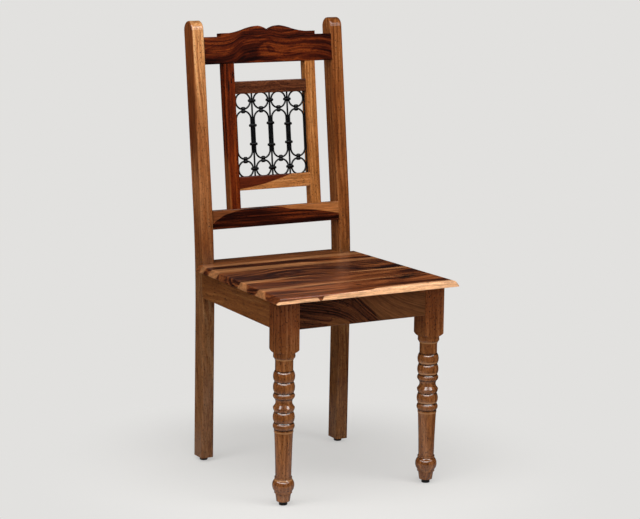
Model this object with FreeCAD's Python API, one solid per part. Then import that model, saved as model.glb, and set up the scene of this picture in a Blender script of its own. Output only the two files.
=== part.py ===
"""Dining chair in solid hardwood with a wrought-iron grille set in its back.

Units are millimetres. X runs to the right of a person who faces the front of
the chair, Y runs from front to back and Z runs up. Left and right are that
person's. The chair is built with Y = 0 at the front faces of the front legs,
then moved so that the origin is at the centre of its footprint, on the floor.
"""
import FreeCAD, Part
import math
import os

# Seat
SEAT_HEIGHT = 455.0
SEAT_THICKNESS = 13.0
SEAT_LIP = 2.0
SEAT_FRONT_OVERHANG = 25.8
SEAT_SIDE_OVERHANG_FRONT = 20.0
SEAT_SIDE_OVERHANG_REAR = 15.7
SEAT_SIDE_BEVEL = 8.7
SEAT_FRONT_BEVEL = 2.5
SEAT_NOTCH_CLEARANCE = 0.3
SEAT_EDGE_ROUND = 5.0
SEAT_BOARD_WIDTHS = (104.0, 88.0, 108.0, 67.0)

# Seat frame
FRONT_WIDTH = 402.4
REAR_WIDTH = 380.6
APRON_HEIGHT = 63.0
APRON_THICKNESS = 20.0
FRONT_APRON_SETBACK = 2.0
SIDE_APRON_SETBACK = 0.5
REAR_APRON_SETBACK = 2.0

# Glued joints
TENON_THICKNESS = 8.0
TENON_SHOULDER = 5.0
LEG_TENON_LENGTH = 22.0
POST_TENON_LENGTH = 14.0
STILE_TENON_LENGTH = 12.0
MORTISE_END_GAP = 1.0
NAIL_DIAMETER = 2.4
NAIL_LENGTH = 20.0
NAIL_INSET = 11.0
CREST_NAIL_HEIGHTS = (15.0, 27.0, 43.0)
LOWER_RAIL_NAIL_HEIGHTS = (8.5, 16.5, 24.5)
APRON_NAIL_HEIGHTS = (20.0, 44.0)

# Rear legs, which carry on upward as the back posts
POST_WIDTH = 30.0
POST_DEPTH = 41.0
POST_ARRIS = 4.0
BEND_HEIGHT = 462.0
BEND_DEPTH = 398.0
BEND_RADIUS = 1970.0
FOOT_RAKE_ANGLE = 0.95
BACK_RAKE_ANGLE = 6.59
POST_TOP_ABOVE_CREST_END = 37.3

# Turned front legs, from the seat down
LEG_SIZE = 47.3
LEG_ARRIS = 1.5
BLOCK_LENGTH = 98.2
SHOULDER_HEIGHT = 14.0
SHOULDER_SWELL = 3.4
CUP_HEIGHT = 15.0
CUP_RADIUS = 23.2
CUP_ROUND = 7.0
CUP_ROUND_SWELL = 1.4
CUP_RIM_HEIGHT = 2.0
CUP_RIM_RADIUS = 20.3
NECK_HEIGHT = 24.5
NECK_RADIUS = 19.1
BEAD_RADIUS = 23.1
BEAD_ROOT_RADIUS = 19.9
FIRST_BEAD_HEIGHT = 23.0
SECOND_BEAD_HEIGHT = 24.0
RING_HEIGHT = 12.5
COVE_HEIGHT = 12.5
COVE_RADIUS = 17.7
FLARE_HEIGHT = 6.0
FLARE_FOOT_HEIGHT = 9.5
FLARE_SWELL = 0.6
THIRD_BEAD_HEIGHT = 23.5
LOWER_RING_HEIGHT = 14.5
COLLAR_HEIGHT = 6.0
COLLAR_RADIUS = 20.5
SHAFT_TOP_RADIUS = 19.8
SHAFT_FOOT_RADIUS = 16.9
SHAFT_HOLLOW = 0.4
BALL_STEP_HEIGHT = 3.4
BALL_STEP_RADIUS = 18.6
BALL_HEIGHT = 26.0
BALL_RADIUS = 23.5
BALL_FOOT_RADIUS = 19.0
BALL_FILLET_HEIGHT = 4.0
FERRULE_HEIGHT = 18.0
FERRULE_TOP_RADIUS = 16.7
FERRULE_FOOT_RADIUS = 14.3
GROOVE_WIDTH = 1.6
GROOVE_DEPTH = 1.0

# Glides nailed under the feet
GLIDE_HEIGHT = 8.6
GLIDE_DIAMETER = 18.0
GLIDE_EDGE = 1.5
GLIDE_NAIL_DIAMETER = 2.5
GLIDE_NAIL_LENGTH = 16.0

# Back, measured up the slope from the bend in the posts
RAIL_THICKNESS = 22.0
RAIL_SETBACK = 0.5
RAIL_ARRIS = 1.5
LOWER_RAIL_RISE = 66.0
LOWER_RAIL_HEIGHT = 42.3
GAP_UNDER_GRILLE = 40.0
GRILLE_BOTTOM_RAIL_HEIGHT = 30.6
GRILLE_OPENING_HEIGHT = 184.3
GRILLE_TOP_RAIL_HEIGHT = 28.0
HAND_GAP_HEIGHT = 40.0
STILE_WIDTH = 26.0
GRILLE_OPENING_WIDTH = 179.4

# Crest rail outline, above its lower edge
CREST_END_HEIGHT = 60.0
CREST_STEP_HEIGHT = 7.5
CREST_STEP_INSET = 41.8
CREST_OGEE_START = 94.0
CREST_OGEE_MIDDLE = 58.0
CREST_OGEE_RISE = 7.0
CREST_LOBE_CENTRE = 27.0
CREST_LOBE_HEIGHT = 82.0
CREST_NOTCH_HEIGHT = 70.6
CREST_CURVE_SWELL = 0.9
CREST_LOBE_SWELL = 2.1

# Iron grille
BAR_DIAMETER = 4.0
BAR_GAP = 0.05
COLUMN_COUNT = 4
RING_SINK = 4.4
GROOVE_SIDE_CLEARANCE = 0.2
GROOVE_END_CLEARANCE = 0.3
ROD_EMBED = 11.0
COLLAR_BAND_WALL = 3.0
COLLAR_BAND_HEIGHT = 6.3
COLLAR_BAND_ROUND = 2.4
COLLAR_CLEARANCE = 0.3
MIDDLE_COLLAR_SPREAD = 49.0
SIDE_COLLAR_SPREAD = 41.5
KNOB_TOP_DIAMETER = 11.6
KNOB_FOOT_DIAMETER = 10.6
KNOB_WAIST_DIAMETER = 8.4
KNOB_CAP_DIAMETER = 4.2
KNOB_HEIGHT = 14.6

# Corner blocks and the screws that hold the seat
BLOCK_THICKNESS = 28.0
BLOCK_NEAR_REACH = 28.0
BLOCK_FAR_REACH = 54.0
SCREW_DIAMETER = 4.0
SCREW_HEAD_DIAMETER = 8.0
SCREW_HEAD_HEIGHT = 3.0
SCREW_BITE = 9.0
SCREW_SPACING = 24.0

# Heights and places worked out from the values above
seat_underside = SEAT_HEIGHT - SEAT_THICKNESS
apron_bottom = seat_underside - APRON_HEIGHT
front_half = FRONT_WIDTH / 2
rear_half = REAR_WIDTH / 2
front_inner = front_half - LEG_SIZE
rear_inner = rear_half - POST_WIDTH
half_depth = POST_DEPTH / 2
foot_rake = math.radians(FOOT_RAKE_ANGLE)
back_rake = math.radians(BACK_RAKE_ANGLE)

lower_rail_bottom = LOWER_RAIL_RISE
lower_rail_top = lower_rail_bottom + LOWER_RAIL_HEIGHT
grille_rail_bottom = lower_rail_top + GAP_UNDER_GRILLE
opening_bottom = grille_rail_bottom + GRILLE_BOTTOM_RAIL_HEIGHT
opening_top = opening_bottom + GRILLE_OPENING_HEIGHT
hand_gap_bottom = opening_top + GRILLE_TOP_RAIL_HEIGHT
crest_bottom = hand_gap_bottom + HAND_GAP_HEIGHT
post_top = crest_bottom + CREST_END_HEIGHT + POST_TOP_ABOVE_CREST_END
rail_front = -half_depth + RAIL_SETBACK
rail_back = rail_front + RAIL_THICKNESS
rail_middle = rail_front + RAIL_THICKNESS / 2
stile_inner = GRILLE_OPENING_WIDTH / 2
stile_outer = stile_inner + STILE_WIDTH

bar_radius = BAR_DIAMETER / 2
column_pitch = GRILLE_OPENING_WIDTH / COLUMN_COUNT
ring_radius = column_pitch / 2 - BAR_DIAMETER - BAR_GAP
top_ring_centre = opening_top + RING_SINK - bar_radius - ring_radius
bottom_ring_centre = opening_bottom - RING_SINK + bar_radius + ring_radius
loop_top = top_ring_centre - ring_radius - BAR_DIAMETER - BAR_GAP
loop_bottom = bottom_ring_centre + ring_radius + BAR_DIAMETER + BAR_GAP
opening_middle = (opening_bottom + opening_top) / 2


def point(x, y, z):
    return FreeCAD.Vector(x, y, z)


def box(x0, x1, y0, y1, z0, z1):
    return Part.makeBox(x1 - x0, y1 - y0, z1 - z0, point(x0, y0, z0))


def mirrored(shape):
    return shape.mirror(point(0, 0, 0), point(1, 0, 0))


def to_back(shape):
    """Place a shape drawn in the back's own frame.

    That frame has its origin at the bend in the posts, X to the right, Y
    square to the back and Z up its slope.
    """
    placed = shape.copy()
    turn = FreeCAD.Rotation(point(1, 0, 0), -BACK_RAKE_ANGLE)
    back_frame = FreeCAD.Placement(point(0, BEND_DEPTH, BEND_HEIGHT), turn)
    placed.Placement = back_frame.multiply(placed.Placement)
    return placed


def path(start, steps, place):
    """Join lines (u, v) and three-point arcs (middle u, v, end u, v) into edges."""
    edges = []
    here = start
    for step in steps:
        end = step[-2:]
        if len(step) == 2:
            edges.append(Part.LineSegment(place(*here), place(*end)).toShape())
        else:
            middle = step[:2]
            edges.append(Part.Arc(place(*here), place(*middle), place(*end)).toShape())
        here = end
    return edges


def bowed(start, end, swell):
    """Arc step that stands off its chord, to the left of the way it goes."""
    run = end[0] - start[0]
    rise = end[1] - start[1]
    length = math.hypot(run, rise)
    middle_u = (start[0] + end[0]) / 2 - swell * rise / length
    middle_v = (start[1] + end[1]) / 2 + swell * run / length
    return (middle_u, middle_v) + end


def prism(start, steps, place, sweep):
    """Extrude the closed outline of a path by a vector."""
    face = Part.Face(Part.Wire(path(start, list(steps) + [start], place)))
    return face.extrude(sweep)


def plan_prism(corners, z0, z1):
    """Extrude a plan of straight sides between two heights."""
    return prism(corners[0], corners[1:], lambda x, y: point(x, y, z0), point(0, 0, z1 - z0))


def eased(shape, radius, chosen):
    """Round the edges that pass a test on their bounding box."""
    edges = [edge for edge in shape.Edges if chosen(edge.BoundBox)]
    return shape.makeFillet(radius, edges)


def runs_along_x(bounds):
    return bounds.XLength > max(bounds.YLength, bounds.ZLength)


def runs_along_y(bounds):
    return bounds.YLength > max(bounds.XLength, bounds.ZLength)


def runs_along_z(bounds):
    return bounds.ZLength > max(bounds.XLength, bounds.YLength)


# Centre line of a rear leg

def along_foot(length, offset):
    """Point on the lower straight part, seen from the side."""
    y = BEND_DEPTH - length * math.sin(foot_rake) + offset * math.cos(foot_rake)
    z = BEND_HEIGHT + length * math.cos(foot_rake) + offset * math.sin(foot_rake)
    return (y, z)


def along_back(length, offset):
    """Point on the upper straight part, seen from the side."""
    y = BEND_DEPTH + length * math.sin(back_rake) + offset * math.cos(back_rake)
    z = BEND_HEIGHT + length * math.cos(back_rake) - offset * math.sin(back_rake)
    return (y, z)


bend_tangent = BEND_RADIUS * math.tan((foot_rake + back_rake) / 2)
bend_lean = (back_rake - foot_rake) / 2
bend_centre_distance = BEND_RADIUS / math.cos((foot_rake + back_rake) / 2)
bend_centre_y = BEND_DEPTH + bend_centre_distance * math.cos(bend_lean)
bend_centre_z = BEND_HEIGHT - bend_centre_distance * math.sin(bend_lean)


def on_bend(offset):
    """Middle of the bend, on the face at this offset."""
    radius = BEND_RADIUS - offset
    y = bend_centre_y - radius * math.cos(bend_lean)
    z = bend_centre_z + radius * math.sin(bend_lean)
    return (y, z)


def post_face_y(z, offset):
    """Depth of the bent stretch's face at a height near the seat frame."""
    radius = BEND_RADIUS - offset
    return bend_centre_y - math.sqrt(radius ** 2 - (z - bend_centre_z) ** 2)


def rear_leg_blank():
    """Right rear leg and post without its mortises."""
    foot_length = -BEND_HEIGHT / math.cos(foot_rake)
    top_centre = post_top - half_depth
    steps = [
        along_foot(-bend_tangent, -half_depth),
        on_bend(-half_depth) + along_back(bend_tangent, -half_depth),
        along_back(top_centre, -half_depth),
        along_back(post_top, 0) + along_back(top_centre, half_depth),
        along_back(bend_tangent, half_depth),
        on_bend(half_depth) + along_foot(-bend_tangent, half_depth),
        along_foot(foot_length, half_depth),
    ]
    start = along_foot(foot_length, -half_depth)
    leg = prism(start, steps, lambda y, z: point(rear_inner, y, z), point(POST_WIDTH, 0, 0))
    leg = eased(leg, POST_ARRIS, lambda b: b.XLength < POST_ARRIS / 2 and b.ZMax > POST_ARRIS)
    bounds = leg.BoundBox
    return leg.common(box(bounds.XMin, bounds.XMax, bounds.YMin, bounds.YMax, GLIDE_HEIGHT, bounds.ZMax))


def turned_groove(radius):
    """Sections of a V groove turned into a stretch of this radius."""
    return [(GROOVE_WIDTH / 2, radius - GROOVE_DEPTH, 0), (GROOVE_WIDTH / 2, radius, 0)]


def turned_leg_outline():
    """Outline of the turned part, as radius and height, from the block down to the glide."""
    corner = LEG_SIZE * math.sqrt(2) / 2 + LEG_ARRIS
    top = seat_underside - BLOCK_LENGTH
    bead_swell = BEAD_RADIUS - BEAD_ROOT_RADIUS
    cove_foot = (COVE_RADIUS + BEAD_ROOT_RADIUS) / 2
    cove_swell = COVE_RADIUS - (BEAD_ROOT_RADIUS + cove_foot) / 2
    ball_swell = BALL_RADIUS - (BALL_STEP_RADIUS + BALL_FOOT_RADIUS) / 2
    above_shaft = [
        (SHOULDER_HEIGHT, CUP_RADIUS, SHOULDER_SWELL),
        (CUP_HEIGHT - CUP_ROUND - CUP_RIM_HEIGHT, CUP_RADIUS, 0),
        (CUP_ROUND, CUP_RIM_RADIUS, CUP_ROUND_SWELL),
        (CUP_RIM_HEIGHT, CUP_RIM_RADIUS, 0),
        (0, NECK_RADIUS, 0),
        (NECK_HEIGHT, NECK_RADIUS, 0),
        (0, BEAD_ROOT_RADIUS, 0),
        (FIRST_BEAD_HEIGHT, BEAD_ROOT_RADIUS, bead_swell),
        (SECOND_BEAD_HEIGHT, BEAD_ROOT_RADIUS, bead_swell),
        (RING_HEIGHT, BEAD_ROOT_RADIUS, bead_swell),
        (COVE_HEIGHT, cove_foot, cove_swell),
        (FLARE_HEIGHT, BEAD_RADIUS, 0),
        (FLARE_FOOT_HEIGHT, BEAD_ROOT_RADIUS, FLARE_SWELL),
        (THIRD_BEAD_HEIGHT, BEAD_ROOT_RADIUS, bead_swell),
        (LOWER_RING_HEIGHT, BEAD_ROOT_RADIUS, bead_swell),
        (0, COLLAR_RADIUS, 0),
        (COLLAR_HEIGHT, COLLAR_RADIUS, 0),
        (0, SHAFT_TOP_RADIUS, 0),
    ]
    below_shaft = [
        (0, BALL_STEP_RADIUS, 0),
        (BALL_STEP_HEIGHT, BALL_STEP_RADIUS, 0),
        *turned_groove(BALL_STEP_RADIUS),
        (BALL_HEIGHT, BALL_FOOT_RADIUS, ball_swell),
        (BALL_FILLET_HEIGHT, BALL_FOOT_RADIUS, 0),
        (0, FERRULE_TOP_RADIUS, 0),
        *turned_groove(FERRULE_TOP_RADIUS),
        (FERRULE_HEIGHT - GROOVE_WIDTH, FERRULE_FOOT_RADIUS, 0),
    ]
    turned_height = top - GLIDE_HEIGHT
    shaft_height = turned_height - sum(drop for drop, radius, swell in above_shaft + below_shaft)
    sections = above_shaft + [(shaft_height, SHAFT_FOOT_RADIUS, -SHAFT_HOLLOW)] + below_shaft
    here = (corner, top)
    steps = [here]
    for drop, radius, swell in sections:
        end = (radius, here[1] - drop)
        steps.append(bowed(here, end, swell) if swell else end)
        here = end
    steps.append((0, GLIDE_HEIGHT))
    return (0, top), steps


def front_leg_blank():
    """Right front leg, a square block above and turned below."""
    start, steps = turned_leg_outline()
    outline = Part.Wire(path(start, steps + [start], lambda r, z: point(r, 0, z)))
    turned = Part.Face(outline).revolve(point(0, 0, 0), point(0, 0, 1), 360)
    half = LEG_SIZE / 2
    block = box(-half, half, -half, half, 0, seat_underside)
    block = eased(block, LEG_ARRIS, runs_along_z)
    turning_top = seat_underside - BLOCK_LENGTH
    upper = block.common(box(-half, half, -half, half, turning_top, seat_underside))
    leg = upper.fuse(block.common(turned)).removeSplitter()
    leg.translate(point(front_half - half, half, 0))
    return leg


def apron_outer_x(y):
    """Outer face of the right apron, which follows the tapering seat frame."""
    front = front_half - SIDE_APRON_SETBACK
    rear = rear_half - SIDE_APRON_SETBACK
    rear_y = post_face_y(apron_bottom, -half_depth)
    share = (y - LEG_SIZE) / (rear_y - LEG_SIZE)
    return front + share * (rear - front)


def tenon_z():
    return (apron_bottom + TENON_SHOULDER, seat_underside - 2 * TENON_SHOULDER)


def tenon_and_mortise(x0, x1, y0, y1, z0, z1, way):
    """Tenon box and the mortise that takes it, with room at its end."""
    tenon = box(x0, x1, y0, y1, z0, z1)
    mortise = tenon.copy()
    mortise.translate(point(way[0] * MORTISE_END_GAP, way[1] * MORTISE_END_GAP, 0))
    return tenon, mortise.fuse(tenon)


def front_apron_tenon():
    middle = FRONT_APRON_SETBACK + APRON_THICKNESS / 2
    y0 = middle - TENON_THICKNESS / 2
    z0, z1 = tenon_z()
    x1 = front_inner + LEG_TENON_LENGTH
    return tenon_and_mortise(front_inner, x1, y0, y0 + TENON_THICKNESS, z0, z1, (1, 0))


def side_apron_front_tenon():
    middle = apron_outer_x(LEG_SIZE) - APRON_THICKNESS / 2
    x0 = middle - TENON_THICKNESS / 2
    z0, z1 = tenon_z()
    y0 = LEG_SIZE - LEG_TENON_LENGTH
    return tenon_and_mortise(x0, x0 + TENON_THICKNESS, y0, LEG_SIZE, z0, z1, (0, -1))


def side_apron_rear_tenon():
    rear_y = post_face_y(apron_bottom, -half_depth)
    middle = apron_outer_x(rear_y) - APRON_THICKNESS / 2
    x0 = middle - TENON_THICKNESS / 2
    z0, z1 = tenon_z()
    y1 = rear_y + POST_TENON_LENGTH
    return tenon_and_mortise(x0, x0 + TENON_THICKNESS, rear_y - POST_ARRIS, y1, z0, z1, (0, 1))


def rear_apron_faces():
    back = post_face_y(apron_bottom, half_depth) - REAR_APRON_SETBACK
    return back - APRON_THICKNESS, back


def rear_apron_tenon():
    front, back = rear_apron_faces()
    y0 = (front + back - TENON_THICKNESS) / 2
    z0, z1 = tenon_z()
    x1 = rear_inner + POST_TENON_LENGTH
    return tenon_and_mortise(rear_inner, x1, y0, y0 + TENON_THICKNESS, z0, z1, (1, 0))


def back_tenon(x0, length, s0, s1):
    """Tenon of a back member, level with the middle of its thickness."""
    y0 = rail_middle - TENON_THICKNESS / 2
    return tenon_and_mortise(x0, x0 + length, y0, y0 + TENON_THICKNESS, s0, s1, (1, 0))


def crest_tenon():
    low = crest_bottom + TENON_SHOULDER
    high = crest_bottom + CREST_END_HEIGHT - TENON_SHOULDER
    return back_tenon(rear_inner, POST_TENON_LENGTH, low, high)


def lower_rail_tenon():
    low = lower_rail_bottom + TENON_SHOULDER
    high = lower_rail_top - TENON_SHOULDER
    return back_tenon(rear_inner, POST_TENON_LENGTH, low, high)


def grille_rail_tenon(low, high):
    return back_tenon(stile_inner, STILE_TENON_LENGTH, low + TENON_SHOULDER, high - TENON_SHOULDER)


def stile_tenon(low, high):
    x0 = stile_inner + TENON_SHOULDER
    y0 = rail_middle - TENON_THICKNESS / 2
    return box(x0, stile_outer - TENON_SHOULDER, y0, y0 + TENON_THICKNESS, low, high)


def back_nails(base, heights):
    """Nails through a post's front face into a rail's tenon."""
    nails = []
    for height in heights:
        start = point(rear_inner + NAIL_INSET, -half_depth, base + height)
        nails.append(Part.makeCylinder(NAIL_DIAMETER / 2, NAIL_LENGTH, start, point(0, 1, 0)))
    return nails


def right_nails():
    """All nails on the right side: crest, lower rail and front apron."""
    in_back = back_nails(crest_bottom, CREST_NAIL_HEIGHTS)
    in_back += back_nails(lower_rail_bottom, LOWER_RAIL_NAIL_HEIGHTS)
    nails = [to_back(nail) for nail in in_back]
    for height in APRON_NAIL_HEIGHTS:
        start = point(front_inner + NAIL_INSET, 0, apron_bottom + height)
        nails.append(Part.makeCylinder(NAIL_DIAMETER / 2, NAIL_LENGTH, start, point(0, 1, 0)))
    return nails


def glide(x, y):
    """Plastic glide with its nail, which is driven up into the foot."""
    radius = GLIDE_DIAMETER / 2
    disc = Part.makeCylinder(radius, GLIDE_HEIGHT, point(x, y, 0))
    disc = eased(disc, GLIDE_EDGE, lambda b: b.ZMax < GLIDE_EDGE and b.ZLength < GLIDE_EDGE)
    nail = Part.makeCylinder(GLIDE_NAIL_DIAMETER / 2, GLIDE_HEIGHT + GLIDE_NAIL_LENGTH, point(x, y, 0))
    return disc.fuse(nail).removeSplitter()


def front_glide():
    return glide(front_half - LEG_SIZE / 2, LEG_SIZE / 2)


def rear_glide():
    foot = along_foot((GLIDE_HEIGHT - BEND_HEIGHT) / math.cos(foot_rake), 0)
    return glide(rear_half - POST_WIDTH / 2, foot[0])


def rear_leg(nails):
    leg = rear_leg_blank()
    mortises = [side_apron_rear_tenon()[1], rear_apron_tenon()[1]]
    mortises += [to_back(crest_tenon()[1]), to_back(lower_rail_tenon()[1])]
    return leg.cut(mortises + [rear_glide()] + nails)


def front_leg(nails):
    mortises = [front_apron_tenon()[1], side_apron_front_tenon()[1]]
    return front_leg_blank().cut(mortises + [front_glide()] + nails)


def front_apron(nails):
    y0 = FRONT_APRON_SETBACK
    body = box(-front_inner, front_inner, y0, y0 + APRON_THICKNESS, apron_bottom, seat_underside)
    body = eased(body, RAIL_ARRIS, lambda b: runs_along_x(b) and b.ZMax < apron_bottom + RAIL_ARRIS)
    tenon = front_apron_tenon()[0]
    apron = body.fuse([tenon, mirrored(tenon)])
    return apron.cut(nails + [mirrored(nail) for nail in nails])


def rear_apron():
    front, back = rear_apron_faces()
    body = box(-rear_inner, rear_inner, front, back, apron_bottom, seat_underside)
    body = eased(body, RAIL_ARRIS, lambda b: runs_along_x(b) and b.ZMax < apron_bottom + RAIL_ARRIS)
    tenon = rear_apron_tenon()[0]
    return body.fuse([tenon, mirrored(tenon)])


def side_apron():
    """Right apron, cut to the face of the rear leg that it meets."""
    rear_y = post_face_y(apron_bottom, 0)
    corners = [
        (apron_outer_x(LEG_SIZE), LEG_SIZE),
        (apron_outer_x(rear_y), rear_y),
        (apron_outer_x(rear_y) - APRON_THICKNESS, rear_y),
        (apron_outer_x(LEG_SIZE) - APRON_THICKNESS, LEG_SIZE),
    ]
    body = plan_prism(corners, apron_bottom, seat_underside)
    body = eased(body, RAIL_ARRIS, lambda b: runs_along_y(b) and b.ZMax < apron_bottom + RAIL_ARRIS)
    body = body.cut(rear_leg_blank())
    body = max(body.Solids, key=lambda solid: solid.Volume)
    return body.fuse([side_apron_front_tenon()[0], side_apron_rear_tenon()[0]])


def crest_rail(nails):
    """Top rail with stepped ends, an ogee on each side and a pointed notch."""
    shoulder = CREST_END_HEIGHT + CREST_STEP_HEIGHT
    step_x = rear_inner - CREST_STEP_INSET
    ogee_start = (CREST_OGEE_START, shoulder)
    ogee_middle = (CREST_OGEE_MIDDLE, shoulder + CREST_OGEE_RISE)
    lobe = (CREST_LOBE_CENTRE, CREST_LOBE_HEIGHT)
    notch = (0, CREST_NOTCH_HEIGHT)
    steps = [
        (rear_inner, 0),
        (rear_inner, CREST_END_HEIGHT),
        (step_x, CREST_END_HEIGHT),
        (step_x, shoulder),
        ogee_start,
        bowed(ogee_start, ogee_middle, CREST_CURVE_SWELL),
        bowed(ogee_middle, lobe, -CREST_CURVE_SWELL),
        bowed(lobe, notch, -CREST_LOBE_SWELL),
    ]
    place = lambda x, s: point(x, rail_front, crest_bottom + s)
    half = prism((0, 0), steps, place, point(0, RAIL_THICKNESS, 0))
    body = half.fuse(mirrored(half)).removeSplitter()
    body = eased(body, RAIL_ARRIS, lambda b: runs_along_x(b) and b.ZMax < crest_bottom + RAIL_ARRIS)
    tenon = crest_tenon()[0]
    body = body.fuse([tenon, mirrored(tenon)])
    body = body.cut([stile_mortise(crest_bottom, 1), mirrored(stile_mortise(crest_bottom, 1))])
    rail = to_back(body)
    return rail.cut(nails + [mirrored(nail) for nail in nails])


def stile_mortise(level, way):
    """Mortise in the crest rail above a stile, or in the lower rail below it."""
    depth = STILE_TENON_LENGTH + MORTISE_END_GAP
    if way > 0:
        return stile_tenon(level, level + depth)
    return stile_tenon(level - depth, level)


def lower_back_rail(nails):
    body = box(-rear_inner, rear_inner, rail_front, rail_back, lower_rail_bottom, lower_rail_top)
    body = eased(body, RAIL_ARRIS, runs_along_x)
    tenon = lower_rail_tenon()[0]
    body = body.fuse([tenon, mirrored(tenon)])
    body = body.cut([stile_mortise(lower_rail_top, -1), mirrored(stile_mortise(lower_rail_top, -1))])
    rail = to_back(body)
    return rail.cut(nails + [mirrored(nail) for nail in nails])


def rod_positions():
    """Upright rods between the columns and one at each side of the panel."""
    return [(index - COLUMN_COUNT / 2) * column_pitch for index in range(COLUMN_COUNT + 1)]


def column_centres():
    return [(index + 0.5 - COLUMN_COUNT / 2) * column_pitch for index in range(COLUMN_COUNT)]


def grooves():
    """Groove round the opening that holds the outer bars of the panel."""
    half_width = bar_radius + GROOVE_SIDE_CLEARANCE
    y0 = rail_middle - half_width
    y1 = rail_middle + half_width
    depth = RING_SINK + GROOVE_END_CLEARANCE
    top = box(-stile_inner, stile_inner, y0, y1, opening_top, opening_top + depth)
    bottom = box(-stile_inner, stile_inner, y0, y1, opening_bottom - depth, opening_bottom)
    side_depth = bar_radius + GROOVE_END_CLEARANCE
    side = box(stile_inner, stile_inner + side_depth, y0, y1, opening_bottom, opening_top)
    return top, bottom, side


def rod_holes():
    """Blind holes in the two grille rails for the inner rods."""
    holes = []
    length = GRILLE_OPENING_HEIGHT + 2 * (ROD_EMBED + MORTISE_END_GAP)
    for x in rod_positions()[1:-1]:
        base = point(x, rail_middle, opening_middle - length / 2)
        holes.append(Part.makeCylinder(bar_radius, length, base))
    return holes


def grille_rail(low, high):
    body = box(-stile_inner, stile_inner, rail_front, rail_back, low, high)
    body = eased(body, RAIL_ARRIS, runs_along_x)
    tenon = grille_rail_tenon(low, high)[0]
    body = body.fuse([tenon, mirrored(tenon)])
    top, bottom, side = grooves()
    return to_back(body.cut([top, bottom] + rod_holes()))


def back_stile():
    """Right upright between the lower rail and the crest rail."""
    body = box(stile_inner, stile_outer, rail_front, rail_back, lower_rail_top, crest_bottom)
    body = eased(body, RAIL_ARRIS, runs_along_z)
    body = body.fuse(stile_tenon(lower_rail_top - STILE_TENON_LENGTH, crest_bottom + STILE_TENON_LENGTH))
    mortises = [grille_rail_tenon(grille_rail_bottom, opening_bottom)[1]]
    mortises.append(grille_rail_tenon(opening_top, hand_gap_bottom)[1])
    return to_back(body.cut(mortises + [grooves()[2]]))


def grille_rods():
    rods = []
    for x in rod_positions():
        inner = abs(x) < stile_inner - bar_radius
        embed = ROD_EMBED if inner else 0
        base = point(x, rail_middle, opening_bottom - embed)
        rods.append(Part.makeCylinder(bar_radius, GRILLE_OPENING_HEIGHT + 2 * embed, base))
    return rods


def grille_ring(x, centre):
    return Part.makeTorus(ring_radius, bar_radius, point(x, rail_middle, centre), point(0, 1, 0))


def grille_loop(x):
    """Long loop with straight sides and half-round ends."""
    low = loop_bottom + ring_radius
    high = loop_top - ring_radius
    place = lambda u, s: point(x + u, rail_middle, s)
    steps = [
        (ring_radius, high),
        (0, loop_top, -ring_radius, high),
        (-ring_radius, low),
        (0, loop_bottom, ring_radius, low),
    ]
    centre_line = Part.Wire(path((ring_radius, low), steps, place))
    section = Part.Wire(Part.makeCircle(bar_radius, place(ring_radius, low), point(0, 0, 1)))
    return centre_line.makePipeShell([section], True, False)


def stadium(x, s, half_length, half_thickness):
    """Upright prism with half-round ends, as tall as a collar."""
    straight = half_length - half_thickness
    z0 = s - COLLAR_BAND_HEIGHT / 2
    start = (x + straight, rail_middle - half_thickness)
    steps = [
        (x + half_length, rail_middle, x + straight, rail_middle + half_thickness),
        (x - straight, rail_middle + half_thickness),
        (x - half_length, rail_middle, x - straight, rail_middle - half_thickness),
    ]
    return prism(start, steps, lambda u, v: point(u, v, z0), point(0, 0, COLLAR_BAND_HEIGHT))


def collar(x, s):
    """Wrapped band that clamps a rod between two neighbouring bars."""
    inner_length = bar_radius + BAR_GAP + BAR_DIAMETER + COLLAR_CLEARANCE
    inner_thickness = bar_radius + COLLAR_CLEARANCE
    outer = stadium(x, s, inner_length + COLLAR_BAND_WALL, inner_thickness + COLLAR_BAND_WALL)
    outer = eased(outer, COLLAR_BAND_ROUND, lambda b: b.ZLength < COLLAR_CLEARANCE)
    return outer.cut(stadium(x, s, inner_length, inner_thickness))


def collars():
    bands = []
    for x in rod_positions()[1:-1]:
        central = abs(x) < column_pitch / 2
        half_spread = (MIDDLE_COLLAR_SPREAD if central else SIDE_COLLAR_SPREAD) / 2
        on_loops = (opening_middle - half_spread, opening_middle + half_spread)
        bands += [collar(x, s) for s in (bottom_ring_centre, top_ring_centre) + on_loops]
    return bands


def knob(x, s, way):
    """Forged double bead where a ring meets a loop, its larger half on the ring."""
    waist = (KNOB_WAIST_DIAMETER / 2, s)
    cap = KNOB_CAP_DIAMETER / 2
    ring_side = s + way * KNOB_HEIGHT / 2
    loop_side = s - way * KNOB_HEIGHT / 2
    steps = [
        (cap, ring_side),
        (KNOB_TOP_DIAMETER / 2, (s + ring_side) / 2) + waist,
        (KNOB_FOOT_DIAMETER / 2, (s + loop_side) / 2, cap, loop_side),
        (0, loop_side),
    ]
    place = lambda r, z: point(x + r, rail_middle, z)
    outline = Part.Wire(path((0, ring_side), steps + [(0, ring_side)], place))
    return Part.Face(outline).revolve(point(x, rail_middle, s), point(0, 0, 1), 360)


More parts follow.
